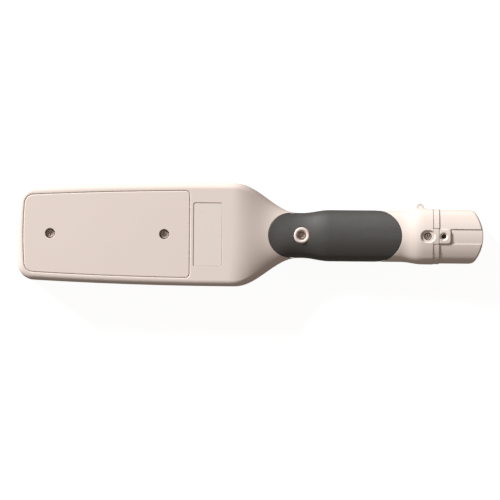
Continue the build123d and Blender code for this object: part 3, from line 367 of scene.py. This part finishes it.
FAIR_NODES = ("rear_shell", "front_shell", "rear_grip", "front_grip")
FAIR_FROM_X = -17.5 * MM
FAIR_TO_X = 143.5 * MM
WELD_REACH = 0.002 * MM
SHARP_ANGLE = math.radians(28)


def fair_normals():
    """Modifier group that welds a CAD mesh and blends its normals between FAIR_FROM_X and FAIR_TO_X."""
    tree = bpy.data.node_groups.new("fair_normals", "GeometryNodeTree")
    for direction in ("INPUT", "OUTPUT"):
        tree.interface.new_socket("Geometry", in_out=direction, socket_type="NodeSocketGeometry")

    def add(kind, **settings):
        made = tree.nodes.new(kind)
        for key, value in settings.items():
            setattr(made, key, value)
        return made

    def compare(operation, limit):
        made = add("FunctionNodeCompare", data_type="FLOAT", operation=operation)
        made.inputs[1].default_value = limit
        return made

    link = tree.links.new
    start = add("NodeGroupInput")
    keep = add("GeometryNodeCaptureAttribute", domain="CORNER")
    keep.capture_items.new("VECTOR", "given")
    weld = add("GeometryNodeMergeByDistance")
    weld.inputs["Distance"].default_value = WELD_REACH
    crease = compare("GREATER_THAN", SHARP_ANGLE)
    plain = add("GeometryNodeSetMeshNormal", mode="SHARPNESS")
    plain.inputs["Remove Custom"].default_value = True
    split = add("ShaderNodeSeparateXYZ")
    after = compare("GREATER_THAN", FAIR_FROM_X)
    before = compare("LESS_THAN", FAIR_TO_X)
    inside = add("FunctionNodeBooleanMath", operation="AND")
    choose = add("GeometryNodeSwitch", input_type="VECTOR")
    blend = add("GeometryNodeSetMeshNormal", mode="FREE", domain="CORNER")
    end = add("NodeGroupOutput")

    link(start.outputs[0], keep.inputs["Geometry"])
    link(add("GeometryNodeInputNormal").outputs["Normal"], keep.inputs[1])
    link(keep.outputs["Geometry"], weld.inputs["Geometry"])
    link(weld.outputs["Geometry"], plain.inputs["Mesh"])
    link(add("GeometryNodeInputMeshEdgeAngle").outputs["Unsigned Angle"], crease.inputs[0])
    link(crease.outputs["Result"], plain.inputs["Edge Sharpness"])
    link(add("GeometryNodeInputPosition").outputs["Position"], split.inputs["Vector"])
    link(split.outputs["X"], after.inputs[0])
    link(split.outputs["X"], before.inputs[0])
    link(after.outputs["Result"], inside.inputs[0])
    link(before.outputs["Result"], inside.inputs[1])
    link(inside.outputs["Boolean"], choose.inputs["Switch"])
    link(keep.outputs[1], choose.inputs["False"])
    link(add("GeometryNodeInputNormal").outputs["Normal"], choose.inputs["True"])
    link(plain.outputs["Mesh"], blend.inputs["Mesh"])
    link(choose.outputs["Output"], blend.inputs["Custom Normal"])
    link(blend.outputs["Mesh"], end.inputs[0])
    return tree


fair_group = fair_normals()
for name in FAIR_NODES:
    nodes[name].modifiers.new("fair_normals", "NODES").node_group = fair_group


# Mesh helpers

SEGMENTS = 40
SMOOTH_ANGLE = math.radians(32)


def bridge(form, rings):
    """Faces between each ring of points and the next."""
    count = len(rings[0])
    for near, far in zip(rings, rings[1:]):
        for i in range(count):
            j = (i + 1) % count
            form.faces.new((near[i], near[j], far[j], far[i]))


def turned(profile):
    """Closed form turned about Z from (radius, height) points that start and end on the axis."""
    form = bmesh.new()
    turns = [2 * math.pi * i / SEGMENTS for i in range(SEGMENTS)]
    rings = []
    for radius, height in profile[1:-1]:
        spots = [(radius * math.cos(turn), radius * math.sin(turn), height) for turn in turns]
        rings.append([form.verts.new(spot) for spot in spots])
    bridge(form, rings)
    for ring, (_, height), flip in ((rings[0], profile[0], True), (rings[-1], profile[-1], False)):
        tip = form.verts.new((0, 0, height))
        for i in range(SEGMENTS):
            edge = (ring[i], ring[(i + 1) % SEGMENTS])
            form.faces.new((*(reversed(edge) if flip else edge), tip))
    bmesh.ops.recalc_face_normals(form, faces=form.faces)
    return form


def as_mesh(form, name):
    mesh = bpy.data.meshes.new(name)
    form.to_mesh(mesh)
    form.free()
    return mesh


def as_piece(form, name):
    piece = bpy.data.objects.new(name, as_mesh(form, name))
    scene.collection.objects.link(piece)
    return piece


def join(form, extra, place):
    """Add another form, moved by a matrix, to a form."""
    bmesh.ops.transform(extra, matrix=place, verts=extra.verts)
    spare = as_mesh(extra, "spare")
    form.from_mesh(spare)
    bpy.data.meshes.remove(spare)


def smooth(piece, angle):
    """Smooth shading that breaks at edges sharper than angle."""
    form = bmesh.new()
    form.from_mesh(piece.data)
    for face in form.faces:
        face.smooth = True
    for edge in form.edges:
        edge.smooth = len(edge.link_faces) == 2 and edge.calc_face_angle(0.0) < angle
    form.to_mesh(piece.data)
    form.free()


def dress(piece, node, slot, body):
    """Put a new piece in a CAD node's place."""
    piece.data.materials.clear()
    piece.data.materials.append(FINISHES[slot])
    smooth(piece, SMOOTH_ANGLE)
    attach(piece, body)
    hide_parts(node)


# Battery with a crimped jacket and snap terminals

BATTERY_LENGTH = 46.4 * MM
BATTERY_ROUND = 2.0 * MM
LEAST_ROUND = 0.4 * MM
CORNER_STEPS = 6
TERMINAL_OFFSET = 6.35 * MM
STUD_RADIUS = 2.75 * MM
SOCKET_RADIUS = 3.9 * MM

# Crimp at each end as distance from the end and inset of the jacket, in millimetres

CRIMP = ((0.9, 1.6), (0.2, 1.45), (0.0, 1.15), (0.0, 0.55), (0.2, 0.15), (0.6, 0.02),
         (2.3, 0.02), (2.7, 0.28), (3.2, 0.28), (3.6, 0.02))

# Terminal profiles as shares of the terminal's radius and height

STUD = ((0.0, -0.6), (1.0, -0.6), (1.0, 0.12), (0.82, 0.2), (0.78, 0.62), (0.9, 0.84),
        (0.82, 0.98), (0.6, 1.0), (0.0, 1.0))
SOCKET = ((0.0, -0.6), (1.0, -0.6), (1.0, 0.1), (0.86, 0.2), (0.86, 0.7), (1.0, 0.92),
          (0.92, 1.0), (0.7, 1.0), (0.66, 0.3), (0.0, 0.3))
TERMINALS = ((STUD, -TERMINAL_OFFSET, STUD_RADIUS), (SOCKET, TERMINAL_OFFSET, SOCKET_RADIUS))


def rounded_ring(form, x, middle, half_width, half_depth, radius):
    """Ring of points round a rounded rectangle across X."""
    ring = []
    for corner, (side, top) in enumerate(((1, 1), (-1, 1), (-1, -1), (1, -1))):
        for step in range(CORNER_STEPS + 1):
            turn = math.pi / 2 * (corner + step / CORNER_STEPS)
            y = side * (half_width - radius) + radius * math.cos(turn)
            z = top * (half_depth - radius) + radius * math.sin(turn)
            ring.append(form.verts.new((x, middle[0] + y, middle[1] + z)))
    return ring


def battery_form():
    """Nine-volt cell: crimped jacket with sunk ends, a stud and a socket terminal."""
    low, high = (Vector(corner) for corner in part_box("battery"))
    start, end = high.x - BATTERY_LENGTH, high.x
    middle = ((low.y + high.y) / 2, (low.z + high.z) / 2)
    half_width, half_depth = (high.y - low.y) / 2, (high.z - low.z) / 2
    stations = [(start + x * MM, inset * MM) for x, inset in CRIMP]
    stations += [(end - x * MM, inset * MM) for x, inset in reversed(CRIMP)]
    form = bmesh.new()
    rings = []
    for x, inset in stations:
        radius = max(BATTERY_ROUND - inset, LEAST_ROUND)
        rings.append(rounded_ring(form, x, middle, half_width - inset, half_depth - inset, radius))
    bridge(form, rings)
    form.faces.new(rings[0])
    form.faces.new(rings[-1])
    bmesh.ops.recalc_face_normals(form, faces=form.faces)
    height = start - low.x
    lying = Matrix.Rotation(-math.pi / 2, 4, "Y")
    for outline, y, radius in TERMINALS:
        terminal = turned([(r * radius, z * height) for r, z in outline])
        join(form, terminal, Matrix.Translation((start, middle[0] + y, middle[1])) @ lying)
    return form


# Lamps with a dome and a flange

LED_DOME_STEPS = 8
LED_FLANGE_SHARE = 1.09
LED_FLANGE_HEIGHT = 0.9 * MM


def led_form():
    """Three round lamps with a domed tip towards the lens and a flange at the board."""
    low, high = (Vector(corner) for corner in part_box("indicator_leds"))
    radius = (high.x - low.x) / 2
    centre_x, tip, seat = (high.x + low.x) / 2, low.z, high.z
    profile = [(0.0, tip)]
    for step in range(1, LED_DOME_STEPS + 1):
        turn = math.pi / 2 * step / LED_DOME_STEPS
        profile.append((radius * math.sin(turn), tip + radius * (1 - math.cos(turn))))
    flange_radius, flange_foot = radius * LED_FLANGE_SHARE, seat - LED_FLANGE_HEIGHT
    profile += [(radius, flange_foot), (flange_radius, flange_foot), (flange_radius, seat), (0.0, seat)]
    form = bmesh.new()
    for y in (low.y + radius, (low.y + high.y) / 2, high.y - radius):
        join(form, turned(profile), Matrix.Translation((centre_x, y, 0.0)))
    return form


for name, form, node, slot in (
    ("battery_jacket", battery_form(), "battery", "battery_case"),
    ("led_domes", led_form(), "indicator_leds", "led_clear"),
):
    dress(as_piece(form, name), node, slot, "casing")


# Screws with a domed head, a cross recess and a grooved shank

THREAD_PITCH = 1.0 * MM
THREAD_DEPTH = 0.13 * MM
POINT_SHARE = 0.45
SEAT_SHARE = 0.94
LIP_SHARE = 0.1
CROWN_STEPS = 7
CROWN_FLAT, CROWN_ROUND = 0.62, 0.38
CROWN_FOOT, CROWN_RISE = 0.38, 0.5
CROWN_TOP = (0.34, 0.97)
RECESS_SPAN = 0.62
RECESS_ARM = 0.17
RECESS_DEPTH = 0.62
RECESS_TAPER = 0.55
FIRST_TURN = 0.5
TURN_STEP = 1.1


def cross_cutter(diameter, height, depth):
    """Tapered cross, wide at its top, that cuts a recess of a given depth into a head."""
    form = bmesh.new()
    reach, arm = diameter * RECESS_SPAN / 2, diameter * RECESS_ARM / 2
    plan = []
    for quarter in range(4):
        turn = Matrix.Rotation(quarter * math.pi / 2, 2)
        plan += [turn @ Vector(corner) for corner in ((arm, arm), (arm, reach), (-arm, reach))]
    levels = ((height - depth, RECESS_TAPER), (height + depth, 2 - RECESS_TAPER))
    rings = [[form.verts.new((*(point * size), z)) for point in plan] for z, size in levels]
    form.faces.new(reversed(rings[0]))
    form.faces.new(rings[1])
    bridge(form, rings)
    bmesh.ops.recalc_face_normals(form, faces=form.faces)
    return form


def cut_away(mesh, cutter, name):
    """Mesh less a cutter mesh."""
    whole = bpy.data.objects.new(name + "_whole", mesh)
    knife = bpy.data.objects.new(name + "_knife", cutter)
    for item in (whole, knife):
        scene.collection.objects.link(item)
    cut = whole.modifiers.new("cut", "BOOLEAN")
    cut.object = knife
    cut.operation = "DIFFERENCE"
    cut.solver = "EXACT"
    evaluated = whole.evaluated_get(bpy.context.evaluated_depsgraph_get())
    result = bpy.data.meshes.new_from_object(evaluated)
    for item in (whole, knife):
        bpy.data.objects.remove(item)
    return result


def screw_mesh(name, head, height, shank, length):
    """One screw on z = 0: rounded pan head above, grooved shank with a blunt point below."""
    radius, core = head / 2, shank / 2
    groove = core - THREAD_DEPTH
    depth = core - length
    profile = [(0, -length), (core * POINT_SHARE, -length), (groove, depth)]
    while depth + THREAD_PITCH < -THREAD_PITCH:
        profile.append((core, depth + THREAD_PITCH / 2))
        profile.append((groove, depth + THREAD_PITCH))
        depth += THREAD_PITCH
    profile += [(core, -THREAD_PITCH / 2), (core, 0), (radius * SEAT_SHARE, 0), (radius, height * LIP_SHARE)]
    for i in range(CROWN_STEPS + 1):
        angle = math.pi / 2 * i / CROWN_STEPS
        width = CROWN_FLAT + CROWN_ROUND * math.cos(angle)
        rise = CROWN_FOOT + CROWN_RISE * math.sin(angle)
        profile.append((radius * width, height * rise))
    profile += [(radius * CROWN_TOP[0], height * CROWN_TOP[1]), (0, height)]
    body = as_mesh(turned(profile), name)
    return cut_away(body, as_mesh(cross_cutter(head, height, height * RECESS_DEPTH), name), name)


def place_copies(mesh, name, spots):
    """One piece with a copy of mesh at each spot, turned differently at each."""
    form = bmesh.new()
    for number, spot in enumerate(spots):
        copy = bmesh.new()
        copy.from_mesh(mesh)
        turn = Matrix.Rotation(FIRST_TURN + TURN_STEP * number, 4, "Z")
        join(form, copy, Matrix.Translation(spot) @ turn)
    return as_piece(form, name)


# Each node's head diameter, head height, shank diameter and length, then its places, in millimetres

COVER_SCREW_SPOTS = ((-164.3, 0.0), (-70.4, 0.0))
BOARD_SCREW_SPOTS = ((-40.5, 22.5), (-40.5, -22.5), (4.5, 16.0), (4.5, -16.0))
SCREWS = (
    ("cover_screws", (7.4, 2.6, 2.4, 11.0), COVER_SCREW_SPOTS),
    ("grip_screw", (5.6, 2.2, 2.4, 20.0), ((42.7, 0.0),)),
    ("tail_screw", (5.6, 2.2, 2.4, 5.5), ((146.6, 0.0),)),
    ("board_screws", (5.0, 1.6, 1.9, 6.0), BOARD_SCREW_SPOTS),
)
for node, sizes, plan in SCREWS:
    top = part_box(node)[1][2]
    mesh = screw_mesh(node, *(size * MM for size in sizes))
    spots = [(x * MM, y * MM, top - sizes[1] * MM) for x, y in plan]
    dress(place_copies(mesh, node + "_turned", spots), node, "screw_steel", "casing")


# Floor

FLOOR_SIZE = 6.0
FLOOR_Z = -0.0004
FLOOR_SQUARES = 8
FLOOR_TONES = ((0.19, 0.19, 0.19), (0.21, 0.21, 0.21))
FLOOR_GLOW = 0.93

floor_form = bmesh.new()
bmesh.ops.create_grid(floor_form, x_segments=FLOOR_SQUARES, y_segments=FLOOR_SQUARES, size=FLOOR_SIZE / 2)
floor = as_piece(floor_form, "floor")
floor.location.z = FLOOR_Z
floor.visible_diffuse = False
floor.visible_glossy = False
floor_finish = Finish("floor_pale", 0.9)
floor_finish.paint(floor_finish.colours(floor_finish.noise(3.0), *FLOOR_TONES))
floor_finish.set(Emission_Color=(1.0, 1.0, 1.0, 1.0), Emission_Strength=FLOOR_GLOW)
floor.data.materials.append(floor_finish.material)


# Lights: name, place, target, size, power and colour

LIGHTS = (
    ("key", (-3.3, 3.1, 2.1), (0, 0, 0.02), (1.7, 1.0), 452.0, (1.0, 0.988, 0.98)),
    ("overhead", (0.0, -0.2, 2.4), (0, 0, 0), (1.6, 1.6), 2.5, (1.0, 0.97, 0.94)),
)
WORLD_COLOUR = (1.0, 0.85, 0.74, 1.0)
WORLD_STRENGTH = 0.2

for name, place, target, size, power, colour in LIGHTS:
    light = bpy.data.lights.new(name, "AREA")
    light.shape = "RECTANGLE"
    light.size, light.size_y = size
    light.energy = power
    light.color = colour
    lamp = bpy.data.objects.new(name, light)
    lamp.location = place
    lamp.rotation_euler = (Vector(target) - Vector(place)).to_track_quat("-Z", "Y").to_euler()
    scene.collection.objects.link(lamp)

world = bpy.data.worlds.new("studio")
world.use_nodes = True
background = world.node_tree.nodes["Background"]
background.inputs["Color"].default_value = WORLD_COLOUR
background.inputs["Strength"].default_value = WORLD_STRENGTH
scene.world = world
scene.view_settings.view_transform = "Standard"


# Camera, straight above the wand's outline

FRAME_WIDTH = 0.412
FRAME_CENTRE = (0.0002, -0.0124)
CAMERA_ROLL = math.radians(0.5)
CAMERA_DISTANCE = 4.0
SENSOR_WIDTH = 36.0
OUTLINE_Z = 0.030

camera_data = bpy.data.cameras.new("camera")
camera_data.sensor_width = SENSOR_WIDTH
camera_data.lens = SENSOR_WIDTH * CAMERA_DISTANCE / FRAME_WIDTH
camera = bpy.data.objects.new("camera", camera_data)
camera.location = (*FRAME_CENTRE, OUTLINE_Z + CAMERA_DISTANCE)
camera.rotation_euler = (0.0, 0.0, CAMERA_ROLL)
scene.collection.objects.link(camera)
scene.camera = camera
